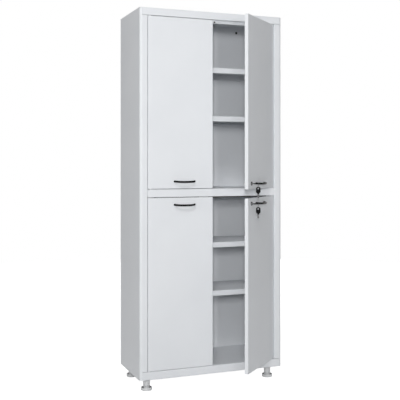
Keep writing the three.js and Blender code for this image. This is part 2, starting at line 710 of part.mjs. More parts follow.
function buildLeaf(section, side, baseZ) {
  const atTop = section === 'lower';
  const isRight = side === 'right';
  const fromEdge = (distance) => (atTop ? DOOR_H - distance : distance);
  const hand = (geometry) => (isRight ? mirrored(geometry) : geometry);
  const sign = isRight ? 1 : -1;
  const handleZ = fromEdge(isRight ? LOCK_EDGE : HANDLE_EDGE);
  const lockZ = isRight ? fromEdge(LOCK_EDGE) : 0;
  const name = `${section}_${side}`;

  const leaf = new THREE.Group();
  leaf.position.set(sign * PIVOT_X, PIVOT_DEPTH, baseZ + DOOR_GAP);
  leaf.rotation.z = isRight ? THREE.MathUtils.degToRad(DOOR_OPEN_DEG) : 0;
  standing.add(leaf);

  put(leaf, `door_${name}`, hand(doorShell(handleZ, lockZ)), paint);
  put(leaf, `handle_${name}`, bowHandle(), black).position.set(-sign * handleX, faceY, handleZ);
  put(leaf, `hinge_pin_${name}_top`, pivotPin(), zinc).position.z = DOOR_H + DOOR_GAP / 2;
  put(leaf, `hinge_pin_${name}_bottom`, pivotPin(), zinc).position.z = -DOOR_GAP / 2;
  if (!isRight) {
    return;
  }
  const lock = new THREE.Group();
  lock.position.set(-lockX, faceY, lockZ);
  leaf.add(lock);
  // Lower cams rest towards the hinge and turn up, upper ones towards the free edge and turn down
  const cam = atTop ? mirrored(lockCam()) : lockCam();
  put(lock, `lock_barrel_${section}`, lockBarrel(), chrome);
  put(lock, `lock_plug_${section}`, lockPlug(), chrome);
  put(lock, `lock_cam_${section}`, cam, zinc);
  put(lock, `key_${section}`, lockedKey(), black);
  const bunch = new THREE.Group();
  bunch.position.y = -eyeOut;
  bunch.rotation.z = -Math.PI / 2 - ringTurn;
  lock.add(bunch);
  put(bunch, `key_ring_${section}`, keyRing(), chrome);
  put(bunch, `spare_key_${section}`, spareKey(), black);
}

[['upper', DECK_Z], ['lower', FLOOR_Z]].forEach(([section, baseZ]) => {
  buildLeaf(section, 'left', baseZ);
  buildLeaf(section, 'right', baseZ);
});

// Magnetic catches: the poles look through the windows of the stop lips at the left doors

const catchY = LIP_Y - STOP_LIP_GAP / 2;
const poleHalf = CATCH_W / 2 - POLE_INSET;
const magnetCatch = join(
  box(-CATCH_W / 2, CATCH_W / 2, catchY + POLE_OUT, catchY + CATCH_D, -CATCH_H, 0),
  box(-poleHalf, poleHalf, catchY, catchY + 2 * POLE_OUT, POLE_OUT - CATCH_H, -POLE_OUT),
);
[['upper', FASCIA_Z], ['lower', RAIL_Z]].forEach(([section, footZ]) => {
  const mesh = put(standing, `magnet_catch_${section}`, magnetCatch, greyPlastic);
  mesh.position.set(-CATCH_SIDE, 0, footZ - CLEAR);
});

// Feet: a flanged sleeve under the floor, and a pad on a threaded stem that screws out of it

const stemRoom = STEM_D / 2 + CLEAR;
const sleeveFoot = PAD_H + CLEAR;
const flangeTop = FLOOR_Z - SHEET - CLEAR;
const flangeFoot = flangeTop - SLEEVE_FLANGE_T;
const sleeve = turnedZ([
  [stemRoom, sleeveFoot], [SLEEVE_D / 2, sleeveFoot], [SLEEVE_D / 2, flangeFoot],
  [SLEEVE_FLANGE_D / 2, flangeFoot], [SLEEVE_FLANGE_D / 2, flangeTop], [stemRoom, flangeTop],
  [stemRoom, sleeveFoot],
], 18);
const stemTop = flangeTop - STEM_ROOM;
const pad = turnedZ([
  [0, 0], [PAD_D / 2 - PAD_EASE, 0], [PAD_D / 2, PAD_EASE], [PAD_D / 2, PAD_RIM_H],
  [SLEEVE_D / 2 + PAD_EASE, PAD_SHOULDER_H], [SLEEVE_D / 2, PAD_H], [STEM_D / 2, PAD_H],
  [STEM_D / 2, stemTop - PIN_EASE], [STEM_D / 2 - PIN_EASE, stemTop], [0, stemTop],
], 18);
[['left', FOOT_SIDE - HALF_W], ['right', HALF_W - FOOT_SIDE]].forEach(([side, x]) => {
  [['front', FOOT_FRONT], ['rear', BODY_D - FOOT_REAR]].forEach(([end, y]) => {
    const foot = new THREE.Group();
    foot.position.set(x, y, 0);
    standing.add(foot);
    put(foot, `foot_sleeve_${end}_${side}`, sleeve, greyPlastic);
    put(foot, `foot_pad_${end}_${side}`, pad, greyPlastic);
  });
});

// The origin is on the floor, in the middle of the rectangle that the part covers as it stands

standing.updateMatrixWorld(true);
const span = new THREE.Box3().setFromObject(standing, true);
const middle = span.getCenter(new THREE.Vector3());
standing.position.set(-middle.x, -middle.y, -span.min.z);

export default cabinet;
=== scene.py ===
import math

import bmesh
import bpy
from mathutils import Matrix, Vector


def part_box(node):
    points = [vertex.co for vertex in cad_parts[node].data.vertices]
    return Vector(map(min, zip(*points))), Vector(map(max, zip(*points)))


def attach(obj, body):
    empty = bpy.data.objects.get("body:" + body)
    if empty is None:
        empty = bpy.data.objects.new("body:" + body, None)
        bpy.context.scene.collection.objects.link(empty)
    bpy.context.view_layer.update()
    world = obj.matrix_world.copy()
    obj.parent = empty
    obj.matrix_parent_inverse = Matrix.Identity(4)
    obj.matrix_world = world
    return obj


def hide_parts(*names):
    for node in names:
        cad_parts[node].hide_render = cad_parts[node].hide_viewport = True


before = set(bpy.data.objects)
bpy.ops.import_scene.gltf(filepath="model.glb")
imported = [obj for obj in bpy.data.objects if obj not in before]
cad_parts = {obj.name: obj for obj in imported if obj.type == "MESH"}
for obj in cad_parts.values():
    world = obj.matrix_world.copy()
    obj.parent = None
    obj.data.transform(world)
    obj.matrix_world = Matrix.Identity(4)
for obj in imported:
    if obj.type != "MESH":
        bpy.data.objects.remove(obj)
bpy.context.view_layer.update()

# The frame is in metres; the sizes below are in millimetres, from the middle of the front at the floor
BODY_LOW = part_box("left_side_panel")[0]
FRONT_Y = BODY_LOW.y
BASE_Z = BODY_LOW.z
MM = 0.001
TO_FRAME = Matrix.Translation((0, FRONT_Y, 0)) @ Matrix.Scale(MM, 4)

# Camera, solved from the straight edges of the body in the 400 by 400 photograph
PHOTO_SIDE = 400
FOCAL_PX = 759.2
HORIZON_PX = 162.21
CAMERA_YAW = math.radians(21.29)
CAMERA_X = -1.3197
CAMERA_AHEAD = 3.2208
CAMERA_ABOVE_BASE = 0.9681
SENSOR = 36.0

# Body, in mm
HALF_W = 350
BODY_D = 320
SHEET = 1
BASE = 58
FLOOR_TOP = 94
RAIL_FOOT = 869
DECK_TOP = 905
FASCIA_FOOT = 1680
LIP_Y = 17.7
CLEAR = 0.3
HEAD_SEAM = 0.8
FOOT_SEAM = 1.6

# Door leaves, in mm about their pivots
DOOR_H = 770
DOOR_GAP = 2.5
DOOR_OPEN = math.radians(42.5)
PIVOT_X = 299.5
PIVOT_DEPTH = 6.5
FACE_Y = -6.5
HINGE_X = -12
HINGE_EDGE_R = 1.8
HINGE_EDGE_OUT = 0.8
FREE_X = 298
SECTIONS = {"upper": DECK_TOP, "lower": FLOOR_TOP}

# Fittings, in mm
HANDLE_X = 161
HANDLE_EDGE = 32
HANDLE_CENTRES = 96
HANDLE_STAND = 27
HANDLE_DROOP = 1.8
HANDLE_SCREW = (4, 2.4)
BOW_FLATNESS = 3.0
BOW_SHOULDER = 0.56
BAR_THICK = 6.8
BAR_TALL = 8.8
BAR_FOOT_REACH = 9
BAR_FOOT_THICK = 3.4
BAR_FOOT_TALL = 1.4
PIN_R = 4
PIN_REACH = 6
PIN_COLLAR_R = 6.5
LOCK_X = 260
LOCK_EDGE = 24
LOCK_FACE_OUT = 2.6
CAM_Y = 20
CAM_T = 2
KEY_NECK_OUT = 12
KEY_NECK_L = 4
KEY_HEAD = (20, 28, 4)
KEY_HEAD_R = 8
KEY_EYE_D = 6.8
KEY_EYE_OUT = 33
KEY_BLADE_L = 27
KEY_BLADE_W = 7
KEY_BLADE_T = 2
KEY_BITS = [(4, 0), (6.5, 1.8), (9, 0.6), (11, 1.5), (13.5, 0)]
RING_R = 11
RING_X = 7.276
RING_Z = -7.561
RING_TURN = math.radians(75)
SPARE_EYE_Z = -21.278
SPARE_BLADE_L = 21
CATCH_X = -40
CATCH = (40, 16, 13)
CATCH_POLE = Vector((10.5, 3, 1.6))
CATCH_POLE_XS = (-14, 3.5)
CATCH_POLE_ZS = (-12, -4.4)
CATCH_SCREW = (3, 1.6)
CATCH_SCREW_X = 13
CATCH_SCREW_Y = 9.5
BUFFER_XS = (-14, 14, -215, 215)
BUFFER_DROP = 9
# A dark strip on the lip below the middle rail, which paints in the shade of the gap under the rail
SHADE_STRIP_X = 278
SHADE_STRIP_CATCH_ROOM = 22
SHADE_STRIP_H = 5.6
SHADE_STRIP_T = 0.5
WALL_HOLE_X = 257
WALL_HOLE_Y = 317.7
WALL_HOLE_Z = 1684
RIVET_INSET = 24
RIVET_FIRST = 45
RIVET_PITCH = 104
RIVET_COUNT = 16
WELD_SIDE = 43
WELD_LEVELS = range(95, 700, 96)
FOOT_X = 302
FOOT_YS = {"front": 55, "rear": 293}

SHARP = math.radians(32)
TURN = 2 * math.pi
Z_TO_Y = Matrix.Rotation(-math.pi / 2, 4, "X")


# Camera, light and floor

AMBIENT = 0.07
FLOOR_RADIUS = 4.6
FLOOR_GREY = 0.55
FLOOR_GLOW = 0.92


def add_camera():
    data = bpy.data.cameras.new("camera")
    data.sensor_width = SENSOR
    data.lens = SENSOR * FOCAL_PX / PHOTO_SIDE
    data.shift_y = (HORIZON_PX - PHOTO_SIDE / 2) / PHOTO_SIDE
    camera = bpy.data.objects.new("camera", data)
    camera.location = (CAMERA_X, FRONT_Y - CAMERA_AHEAD, BASE_Z + CAMERA_ABOVE_BASE)
    camera.rotation_euler = (math.radians(90), 0, -CAMERA_YAW)
    bpy.context.scene.collection.objects.link(camera)
    bpy.context.scene.camera = camera


def add_area_light(name, place, target, size, watts):
    data = bpy.data.lights.new(name, "AREA")
    data.shape = "RECTANGLE"
    data.size, data.size_y = size
    data.energy = watts
    light = bpy.data.objects.new(name, data)
    light.location = place
    light.rotation_euler = (Vector(target) - Vector(place)).to_track_quat("-Z", "Y").to_euler()
    bpy.context.scene.collection.objects.link(light)


def add_lights():
    add_area_light("key_light", (-1.69, FRONT_Y - 4.0, 1.54), (0, FRONT_Y, 0.95), (0.2, 0.62), 62)
    add_area_light("top_light", (-1.6, FRONT_Y - 3.4, 4.4), (0, FRONT_Y, 0.9), (1.2, 1.2), 70)
    add_area_light("fill_light", (-0.78, FRONT_Y - 5.5, 1.4), (0.1, FRONT_Y, 0.95), (0.14, 0.14), 29)
    add_area_light("left_light", (-4.6, FRONT_Y - 1.4, 1.6), (-0.35, FRONT_Y, 0.9), (1.6, 1.6), 38)
    add_area_light("right_light", (1.6, FRONT_Y - 4.6, 1.6), (0, FRONT_Y, 0.95), (1.2, 1.2), 13)
    add_area_light("back_light", (3.0, FRONT_Y + 3.4, 2.0), (0.1, FRONT_Y, 0.9), (2.0, 2.0), 110)


def seen_by_eye(nodes, links):
    """One for rays of the camera and for those that mirror or pass through a piece"""
    path = nodes.new("ShaderNodeLightPath")
    first = nodes.new("ShaderNodeMath")
    first.operation = "MAXIMUM"
    second = nodes.new("ShaderNodeMath")
    second.operation = "MAXIMUM"
    links.new(path.outputs["Is Camera Ray"], first.inputs[0])
    links.new(path.outputs["Is Glossy Ray"], first.inputs[1])
    links.new(first.outputs[0], second.inputs[0])
    links.new(path.outputs["Is Transmission Ray"], second.inputs[1])
    return second.outputs[0]


def add_world():
    world = bpy.data.worlds.new("white_surround")
    bpy.context.scene.world = world
    world.use_nodes = True
    nodes, links = world.node_tree.nodes, world.node_tree.links
    nodes.clear()
    out = nodes.new("ShaderNodeOutputWorld")
    light = nodes.new("ShaderNodeBackground")
    light.inputs["Color"].default_value = (1, 1, 1, 1)
    light.inputs["Strength"].default_value = AMBIENT
    seen = nodes.new("ShaderNodeBackground")
    seen.inputs["Color"].default_value = (1, 1, 1, 1)
    seen.inputs["Strength"].default_value = 1
    mix = nodes.new("ShaderNodeMixShader")
    links.new(seen_by_eye(nodes, links), mix.inputs["Fac"])
    links.new(light.outputs[0], mix.inputs[1])
    links.new(seen.outputs[0], mix.inputs[2])
    links.new(mix.outputs[0], out.inputs["Surface"])


def floor_finish():
    material = bpy.data.materials.new("white_floor")
    material.use_nodes = True
    nodes, links = material.node_tree.nodes, material.node_tree.links
    nodes.clear()
    out = nodes.new("ShaderNodeOutputMaterial")
    paper = nodes.new("ShaderNodeBsdfDiffuse")
    paper.inputs["Color"].default_value = (FLOOR_GREY, FLOOR_GREY, FLOOR_GREY, 1)
    glow = nodes.new("ShaderNodeEmission")
    glow.inputs["Color"].default_value = (1, 1, 1, 1)
    lift = nodes.new("ShaderNodeMath")
    lift.operation = "MULTIPLY"
    lift.inputs[1].default_value = FLOOR_GLOW
    both = nodes.new("ShaderNodeAddShader")
    links.new(seen_by_eye(nodes, links), lift.inputs[0])
    links.new(lift.outputs[0], glow.inputs["Strength"])
    links.new(paper.outputs[0], both.inputs[0])
    links.new(glow.outputs[0], both.inputs[1])
    links.new(both.outputs[0], out.inputs["Surface"])
    return material


def add_floor():
    bm = bmesh.new()
    bmesh.ops.create_circle(bm, cap_ends=True, segments=128, radius=FLOOR_RADIUS)
    mesh = bpy.data.meshes.new("floor")
    bm.to_mesh(mesh)
    bm.free()
    floor = bpy.data.objects.new("floor", mesh)
    mesh.materials.append(floor_finish())
    bpy.context.scene.collection.objects.link(floor)


# Finishes

NOISE_LOW = 0.3
NOISE_HIGH = 0.7


def start_finish(name, rough, metal=0.0):
    material = bpy.data.materials.new(name)
    material.use_nodes = True
    shader = material.node_tree.nodes["Principled BSDF"]
    shader.inputs["Roughness"].default_value = rough
    shader.inputs["Metallic"].default_value = metal
    return material, material.node_tree, shader


def coordinates(tree, scale=(1, 1, 1), turn=(0, 0, 0)):
    source = tree.nodes.new("ShaderNodeTexCoord")
    mapping = tree.nodes.new("ShaderNodeMapping")
    mapping.inputs["Scale"].default_value = scale
    mapping.inputs["Rotation"].default_value = turn
    tree.links.new(source.outputs["Object"], mapping.inputs["Vector"])
    return mapping.outputs["Vector"]


def noise(tree, vector, scale, detail=2.0):
    node = tree.nodes.new("ShaderNodeTexNoise")
    node.inputs["Scale"].default_value = scale
    node.inputs["Detail"].default_value = detail
    tree.links.new(vector, node.inputs["Vector"])
    return node.outputs["Fac"]


def cells(tree, vector, scale):
    node = tree.nodes.new("ShaderNodeTexVoronoi")
    node.inputs["Scale"].default_value = scale
    tree.links.new(vector, node.inputs["Vector"])
    return node.outputs["Color"]


def spread(tree, factor, low, high, target):
    node = tree.nodes.new("ShaderNodeMapRange")
    node.inputs["From Min"].default_value = NOISE_LOW
    node.inputs["From Max"].default_value = NOISE_HIGH
    node.inputs["To Min"].default_value = low
    node.inputs["To Max"].default_value = high
    tree.links.new(factor, node.inputs["Value"])
    tree.links.new(node.outputs["Result"], target)


def tint(tree, factor, dark, light, target):
    node = tree.nodes.new("ShaderNodeValToRGB")
    node.color_ramp.elements[0].position = NOISE_LOW
    node.color_ramp.elements[0].color = (*dark, 1)
    node.color_ramp.elements[1].position = NOISE_HIGH
    node.color_ramp.elements[1].color = (*light, 1)
    tree.links.new(factor, node.inputs["Fac"])
    tree.links.new(node.outputs["Color"], target)


def relief(tree, height, strength, depth, below=None):
    node = tree.nodes.new("ShaderNodeBump")
    node.inputs["Strength"].default_value = strength
    node.inputs["Distance"].default_value = depth
    tree.links.new(height, node.inputs["Height"])
    if below is not None:
        tree.links.new(below, node.inputs["Normal"])
    return node.outputs["Normal"]


def powder_coat():
    material, tree, shader = start_finish("powder_coat", 0.4)
    vector = coordinates(tree)
    shade = noise(tree, vector, 3.1, 4)
    tint(tree, shade, (0.790, 0.811, 0.839), (0.826, 0.845, 0.871), shader.inputs["Base Color"])
    spread(tree, noise(tree, vector, 38, 3), 0.46, 0.58, shader.inputs["Roughness"])
    shader.inputs["Specular IOR Level"].default_value = 0.36
    rolled = coordinates(tree, (11, 11, 1.7))
    wave = relief(tree, noise(tree, rolled, 1, 2), 0.22, 0.004)
    peel = relief(tree, noise(tree, vector, 520, 1), 0.10, 0.0004, wave)
    grain = relief(tree, noise(tree, vector, 2300, 1), 0.05, 0.0002, peel)
    tree.links.new(grain, shader.inputs["Normal"])
    return material


def gloss_black():
    material, tree, shader = start_finish("gloss_black_plastic", 0.2)
    vector = coordinates(tree)
    shade = noise(tree, vector, 60, 3)
    tint(tree, shade, (0.004, 0.004, 0.005), (0.010, 0.010, 0.011), shader.inputs["Base Color"])
    spread(tree, noise(tree, vector, 240, 3), 0.16, 0.3, shader.inputs["Roughness"])
    shader.inputs["Specular IOR Level"].default_value = 0.1
    tree.links.new(relief(tree, noise(tree, vector, 900, 2), 0.05, 0.0003), shader.inputs["Normal"])
    return material


def zinc_plate():
    material, tree, shader = start_finish("zinc_plate", 0.36, 1.0)
    vector = coordinates(tree)
    shade = cells(tree, vector, 420)
    tint(tree, shade, (0.50, 0.51, 0.53), (0.66, 0.67, 0.67), shader.inputs["Base Color"])
    spread(tree, noise(tree, vector, 700, 3), 0.26, 0.46, shader.inputs["Roughness"])
    tree.links.new(relief(tree, noise(tree, vector, 1500, 2), 0.12, 0.0002), shader.inputs["Normal"])
    return material


def polished_chrome():
    material, tree, shader = start_finish("polished_chrome", 0.1, 1.0)
    across = coordinates(tree, (900, 60, 900), (0.4, 0.2, 0.3))
    shade = noise(tree, across, 1, 2)
    # The base colour is lower than bare chrome: painted reflection, standing in for the darker surroundings
    # that it mirrors
    tint(tree, shade, (0.20, 0.205, 0.215), (0.30, 0.305, 0.31), shader.inputs["Base Color"])
    spread(tree, noise(tree, across, 2.2, 3), 0.12, 0.28, shader.inputs["Roughness"])
    tree.links.new(relief(tree, noise(tree, across, 3, 1), 0.04, 0.0001), shader.inputs["Normal"])
    return material


def chrome_painted_dark_reflection():
    material, tree, shader = start_finish("chrome_painted_dark_reflection", 0.2, 1.0)
    across = coordinates(tree, (700, 90, 700), (0.3, 0.1, 0.5))
    shade = noise(tree, across, 1, 2)
    # The lock face is chrome; its near-black base colour is painted reflection, standing in for the dark
    # surroundings that it mirrors
    tint(tree, shade, (0.022, 0.022, 0.024), (0.060, 0.061, 0.064), shader.inputs["Base Color"])
    spread(tree, noise(tree, across, 2.4, 3), 0.16, 0.34, shader.inputs["Roughness"])
    tree.links.new(relief(tree, noise(tree, across, 3, 1), 0.05, 0.0001), shader.inputs["Normal"])
    return material


def moulded_black():
    material, tree, shader = start_finish("moulded_black_plastic", 0.42)
    vector = coordinates(tree)
    shade = noise(tree, vector, 160, 3)
    tint(tree, shade, (0.002, 0.002, 0.0025), (0.005, 0.005, 0.006), shader.inputs["Base Color"])
    spread(tree, noise(tree, vector, 500, 2), 0.3, 0.46, shader.inputs["Roughness"])
    shader.inputs["Specular IOR Level"].default_value = 0.06
    tree.links.new(relief(tree, noise(tree, vector, 2600, 2), 0.22, 0.0002), shader.inputs["Normal"])
    return material


def nickel_silver():
    material, tree, shader = start_finish("nickel_silver", 0.28, 1.0)
    along = coordinates(tree, (1600, 1600, 120))
    shade = noise(tree, along, 1, 2)
    # The base colour is far below bare nickel silver: painted reflection, standing in for the dark
    # surroundings that the blades mirror
    tint(tree, shade, (0.075, 0.075, 0.077), (0.13, 0.13, 0.132), shader.inputs["Base Color"])
    spread(tree, noise(tree, along, 2, 2), 0.34, 0.52, shader.inputs["Roughness"])
    tree.links.new(relief(tree, noise(tree, along, 1.5, 2), 0.1, 0.0001), shader.inputs["Normal"])
    return material


def pale_plastic(name, dark, light):
    material, tree, shader = start_finish(name, 0.45)
    vector = coordinates(tree)
    shade = noise(tree, vector, 90, 4)
    tint(tree, shade, dark, light, shader.inputs["Base Color"])
    spread(tree, noise(tree, vector, 320, 2), 0.36, 0.54, shader.inputs["Roughness"])
    tree.links.new(relief(tree, noise(tree, vector, 1900, 2), 0.14, 0.0002), shader.inputs["Normal"])
    return material


def soft_rubber_and_painted_shade():
    material, tree, shader = start_finish("soft_rubber_and_painted_shade", 0.7)
    vector = coordinates(tree)
    shade = noise(tree, vector, 400, 3)
    # Black of the rubber buffers; the same black is painted shade where it covers the rail lip and fills the
    # foot grooves
    tint(tree, shade, (0.012, 0.012, 0.012), (0.034, 0.033, 0.032), shader.inputs["Base Color"])
    spread(tree, noise(tree, vector, 900, 2), 0.6, 0.8, shader.inputs["Roughness"])
    tree.links.new(relief(tree, noise(tree, vector, 3000, 2), 0.25, 0.0002), shader.inputs["Normal"])
    return material


PAINT = powder_coat()
BLACK = gloss_black()
ZINC = zinc_plate()
CHROME = polished_chrome()
CHROME_PAINTED_DARK = chrome_painted_dark_reflection()
KEY_BLACK = moulded_black()
NICKEL = nickel_silver()
FOOT_GREY = pale_plastic("foot_plastic", (0.70, 0.71, 0.72), (0.79, 0.80, 0.81))
CATCH_WHITE = pale_plastic("catch_plastic", (0.62, 0.62, 0.61), (0.70, 0.70, 0.69))
CAP_GREY = pale_plastic("cap_plastic", (0.040, 0.041, 0.044), (0.070, 0.071, 0.075))
BLACK_RUBBER_AND_SHADE = soft_rubber_and_painted_shade()


# Modelling

def ease(bm, width, segments=3, angle=math.radians(25)):
    edges = [e for e in bm.edges if len(e.link_faces) == 2 and e.calc_face_angle() > angle]
    bmesh.ops.bevel(
        bm,
        geom=edges,
        offset=width,
        offset_type="OFFSET",
        affect="EDGES",
        segments=segments,
        profile=0.5,
        clamp_overlap=True,
        material=-1,
    )


def join_flat(bm):
    """Joins faces that lie in one plane"""
    bmesh.ops.dissolve_limit(bm, angle_limit=math.radians(0.5), verts=bm.verts, edges=bm.edges)


def chain(bm, points, closed=False):
    verts = [bm.verts.new(p) for p in points]
    ends = verts[1:] + verts[:1] if closed else verts[1:]
    edges = [bm.edges.new(pair) for pair in zip(verts, ends)]
    return verts, edges


def turned(profile, sides=48):
    """A form turned about Z from a profile of radius and height"""
    bm = bmesh.new()
    verts, edges = chain(bm, [(r, 0, z) for r, z in profile])
    bmesh.ops.spin(
        bm,
        geom=verts + edges,
        cent=(0, 0, 0),
        axis=(0, 0, 1),
        angle=TURN,
        steps=sides,
        use_merge=True,
    )
    bmesh.ops.remove_doubles(bm, verts=bm.verts, dist=0.0005)
    bmesh.ops.recalc_face_normals(bm, faces=bm.faces)
    return bm


def drawn_up(bm, faces, shift):
    """A copy of the faces, moved by a shift and joined to them by walls"""
    made = bmesh.ops.extrude_face_region(bm, geom=faces)["geom"]
    verts = [g for g in made if isinstance(g, bmesh.types.BMVert)]
    bmesh.ops.translate(bm, vec=shift, verts=verts)


def sunk(bm, faces, shift):
    """Moves the faces by a shift, with walls at their border"""
    drawn_up(bm, faces, shift)
    bmesh.ops.delete(bm, geom=[f for f in faces if f.is_valid], context="FACES_ONLY")


def split(bm, place, axis):
    """Cuts edges into all faces that a plane meets"""
    bmesh.ops.bisect_plane(
        bm,
        geom=bm.verts[:] + bm.edges[:] + bm.faces[:],
        plane_co=place,
        plane_no=axis,
    )


def plate(outline, low, high):
    """A flat plate of an outline in X and Y"""
    bm = bmesh.new()
    verts = [bm.verts.new((x, y, low)) for x, y in outline]
    drawn_up(bm, [bm.faces.new(verts)], (0, 0, high - low))
    bmesh.ops.recalc_face_normals(bm, faces=bm.faces)
    return bm


def block(low, high):
    bm = bmesh.new()
    size = Vector(high) - Vector(low)
    middle = (Vector(high) + Vector(low)) / 2
    place = Matrix.Translation(middle) @ Matrix.Diagonal((*size, 1))
    bmesh.ops.create_cube(bm, size=1, matrix=place)
    return bm


def move(bm, matrix):
    bmesh.ops.transform(bm, matrix=matrix, verts=bm.verts)
    if matrix.determinant() < 0:
        bmesh.ops.reverse_faces(bm, faces=bm.faces)
    return bm


def gather(parts):
    """Several forms as one"""
    whole = bmesh.new()
    for part in parts:
        mesh = bpy.data.meshes.new("part")
        part.to_mesh(mesh)
        part.free()
        whole.from_mesh(mesh)
        bpy.data.meshes.remove(mesh)
    return whole


def repeated(bm, places):
    mesh = bpy.data.meshes.new("part")
    bm.to_mesh(mesh)
    bm.free()
    whole = bmesh.new()
    for place in places:
        before = len(whole.verts)
        whole.from_mesh(mesh)
        whole.verts.ensure_lookup_table()
        bmesh.ops.transform(whole, matrix=place, verts=whole.verts[before:])
    bpy.data.meshes.remove(mesh)
    return whole


def add_piece(name, bm, body, material, place=TO_FRAME, replaces=()):
    move(bm, place)
    bmesh.ops.recalc_face_normals(bm, faces=bm.faces)
    mesh = bpy.data.meshes.new(name)
    bm.to_mesh(mesh)
    bm.free()
    mesh.polygons.foreach_set("use_smooth", [True] * len(mesh.polygons))
    mesh.set_sharp_from_angle(angle=SHARP)
    mesh.materials.append(material)
    piece = bpy.data.objects.new(name, mesh)
    bpy.context.scene.collection.objects.link(piece)
    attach(piece, body)
    if replaces:
        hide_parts(*replaces)
    return piece


# Sheet metal: the folded sheets keep the drawing's shape, with their cut edges and bends softened

def softened(node, width):
    bm = bmesh.new()
    bm.from_mesh(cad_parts[node].data)
    bmesh.ops.remove_doubles(bm, verts=bm.verts, dist=0.000005)
    join_flat(bm)
    if node.endswith("side_panel"):
        open_seams(bm)
    if node.startswith("door_"):
        draw_out_hinge_edge(bm, *node.split("_")[1:])
    ease(bm, width, 2)
    return bm


def open_seams(bm):
    """Takes the ends of a stile back a little, so that its seams with the fascia and the bottom rail show"""
    for level, shift in ((FASCIA_FOOT - CLEAR, -HEAD_SEAM), (FLOOR_TOP + CLEAR, FOOT_SEAM)):
        ends = [v for v in bm.verts if abs(v.co.z - level * MM) < 0.1 * MM]
        bmesh.ops.translate(bm, vec=(0, 0, shift * MM), verts=ends)


def draw_out_hinge_edge(bm, section, side):
    """Brings the rounded hinge edge of a leaf a little nearer to its stile"""
    place = hung(section, side)
    to_leaf = place.inverted()
    edge = [v for v in bm.verts if (to_leaf @ v.co).x < HINGE_X + HINGE_EDGE_R]
    shift = place.to_3x3() @ Vector((-HINGE_EDGE_OUT, 0, 0))
    bmesh.ops.translate(bm, vec=shift, verts=edge)


SHEETS = [
    "left_side_panel",
    "right_side_panel",
    "top_panel",
    "bottom_panel",
    "middle_partition",
    "back_panel",
]
SHEETS += [f"upright_{side}_{end}" for side in ("left", "right") for end in ("front", "rear")]
SHEETS += [f"shelf_{section}_{k}" for section in SECTIONS for k in (1, 2)]
SHEETS += [
    f"shelf_bracket_{section}_{k}_{side}"
    for section in SECTIONS
    for k in (1, 2)
    for side in ("left", "right")
]
IDENTITY = Matrix.Identity(4)
SHEET_EASE = 0.0003
DOOR_EASE = 0.0005


def add_sheet(name, node, body, width):
    piece = add_piece(name, softened(node, width), body, PAINT, IDENTITY, [node])
    flat = piece.modifiers.new("flat_faces", "WEIGHTED_NORMAL")
    flat.mode = "FACE_AREA"
    flat.weight = 100
    flat.keep_sharp = True


def add_sheets():
    for node in SHEETS:
        add_sheet(f"{node}_sheet", node, "carcass", SHEET_EASE)
    for section in SECTIONS:
        for side in ("left", "right"):
            node = f"door_{section}_{side}"
            add_sheet(f"{node}_pan", node, f"{section}_{side}_leaf", DOOR_EASE)


# Rivets of the back panel, and spot welds of the door stiffeners: a shallow pressed ring with a flat middle

def rivet_head():
    return turned([(0, 1.15), (1.2, 1.1), (2.3, 0.88), (3.1, 0.5), (3.5, 0.15), (3.7, -0.05)], 28)


def weld_mark():
    return turned([
        (0, 0.04), (1.9, 0.04), (2.3, 0.1), (2.7, 0.3), (3.1, 0.34), (3.5, 0.28), (4.1, -0.05),
    ], 24)


def add_welds():
    rear = Matrix.Translation((0, BODY_D, 0)) @ Z_TO_Y
    levels = [BASE + RIVET_FIRST + RIVET_PITCH * k for k in range(RIVET_COUNT)]
    places = [
        Matrix.Translation((side * (HALF_W - RIVET_INSET), 0, z)) @ rear
        for side in (-1, 1)
        for z in levels
    ]
    add_piece("back_rivets", repeated(rivet_head(), places), "carcass", PAINT)
    foot_y = FACE_Y + 2 * SHEET
    hat_middle = (HINGE_X + FREE_X) / 2
    door_places = [
        Matrix.Translation((hat_middle + side * WELD_SIDE, foot_y, z)) @ Z_TO_Y
        for side in (-1, 1)
        for z in WELD_LEVELS
    ]
    for section in SECTIONS:
        for side in ("left", "right"):
            name = f"door_weld_marks_{section}_{side}"
            bm = repeated(weld_mark(), door_places)
            add_piece(name, bm, f"{section}_{side}_leaf", PAINT, hung(section, side))


def hung(section, side):
    """Place of a leaf that is drawn as a left one, about its pivot"""
    foot = SECTIONS[section] + DOOR_GAP
    if side == "left":
        return TO_FRAME @ Matrix.Translation((-PIVOT_X, PIVOT_DEPTH, foot))
    mirror = Matrix.Diagonal((-1, 1, 1, 1))
    return opened(section) @ mirror


def opened(section):
    """Place of a right leaf about its pivot, as far open as it stands"""
    foot = SECTIONS[section] + DOOR_GAP
    swing = Matrix.Rotation(DOOR_OPEN, 4, "Z")
    return TO_FRAME @ Matrix.Translation((PIVOT_X, PIVOT_DEPTH, foot)) @ swing


def from_rail(section, distance):
    return DOOR_H - distance if section == "lower" else distance


# Bow handles

def bow_path(count):
    half = HANDLE_CENTRES / 2
    for k in range(count + 1):
        angle = math.pi * (k / count - 0.5)
        u = math.sin(angle)
        rise = (1 - abs(u) ** BOW_FLATNESS) ** BOW_SHOULDER
        yield Vector((u * half, -(HANDLE_STAND - BAR_THICK / 2) * rise, -HANDLE_DROOP * rise ** 2))


